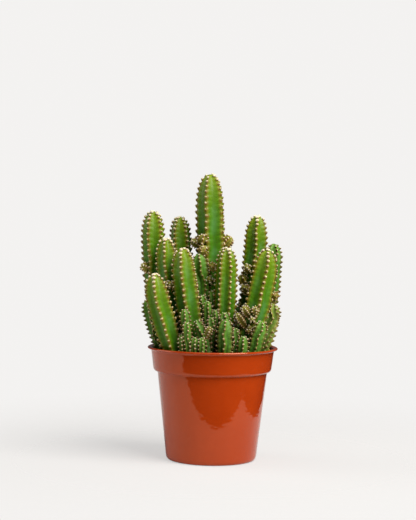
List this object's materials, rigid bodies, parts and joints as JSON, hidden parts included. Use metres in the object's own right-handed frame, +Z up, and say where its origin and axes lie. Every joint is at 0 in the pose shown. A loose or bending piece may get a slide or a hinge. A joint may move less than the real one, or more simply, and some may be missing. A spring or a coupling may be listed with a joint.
{
  "type": "potted columnar cactus clump",
  "caption": "Clump of tall ribbed columnar cactus stems with small woolly offsets, rooted in soil in a round glossy plastic nursery pot with a collar band.",
  "frame": {"origin": "centre of the pot's foot, on the ground", "axes": "+Z up along the pot's axis, -Y towards the front of the clump, +X to the right seen from the front"},
  "size_m": [0.1296, 0.12, 0.2628],
  "materials": {
    "pot_plastic": "smooth glossy terracotta-orange injection-moulded plastic",
    "potting_soil": "coarse dark peat and bark mix, matt",
    "stem_skin": "waxy green skin, lighter on the ribs, olive-brown by the areoles",
    "offset_skin": "young yellow-green skin under dense cream wool and reddish-brown spines",
    "areole_wool": "short cream felt, browner with age",
    "spine": "thin dry bristles, reddish brown with paler tips"
  },
  "bodies": {
    "root": {"back_centre_stem": "stem_skin", "back_far_left_stem": "stem_skin", "back_far_right_stem": "stem_skin", "back_left_stem": "stem_skin", "back_pup_left": "stem_skin", "back_pup_right": "stem_skin", "back_right_bud_lower": "offset_skin", "back_right_bud_side": "offset_skin", "back_right_bud_upper": "offset_skin", "back_right_stem": "stem_skin", "centre_right_stem": "stem_skin", "far_left_bud": "offset_skin", "far_left_stem": "stem_skin", "far_right_bud_lower": "offset_skin", "far_right_bud_upper": "offset_skin", "far_right_stem": "stem_skin", "front_left_stem": "stem_skin", "front_right_bud_lower": "offset_skin", "front_right_bud_upper": "offset_skin", "front_right_chain_bud_1": "offset_skin", "front_right_chain_bud_2": "offset_skin", "front_right_chain_bud_3": "offset_skin", "front_right_chain_bud_4": "offset_skin", "front_right_stem": "stem_skin", "front_short_rear_stem": "stem_skin", "front_short_stem": "stem_skin", "inner_pup_deep": "stem_skin", "inner_pup_front": "stem_skin", "inner_pup_left": "stem_skin", "inner_pup_rear": "stem_skin", "inner_pup_right": "stem_skin", "leaning_pup_bud": "offset_skin", "leaning_pup_front": "stem_skin", "leaning_pup_left": "stem_skin", "low_left_rear_stem": "stem_skin", "low_left_stem": "stem_skin", "low_pup_left": "stem_skin", "low_pup_right": "stem_skin", "low_right_inner_stem": "stem_skin", "low_right_stem": "stem_skin", "mid_left_bud_inner": "offset_skin", "mid_left_bud_outer": "offset_skin", "mid_left_stem": "stem_skin", "pot": "pot_plastic", "rim_pup_centre": "stem_skin", "rim_pup_far_left": "stem_skin", "rim_pup_left": "stem_skin", "rim_pup_right": "stem_skin", "slim_centre_stem": "stem_skin", "soil": "potting_soil", "tall_foot_bud_lower": "offset_skin", "tall_foot_bud_upper": "offset_skin", "tall_left_bud": "offset_skin", "tall_lower_bud": "offset_skin", "tall_right_branch": "offset_skin", "tall_stem": "stem_skin", "tall_upper_bud": "offset_skin"}
  },
  "joints": []
}
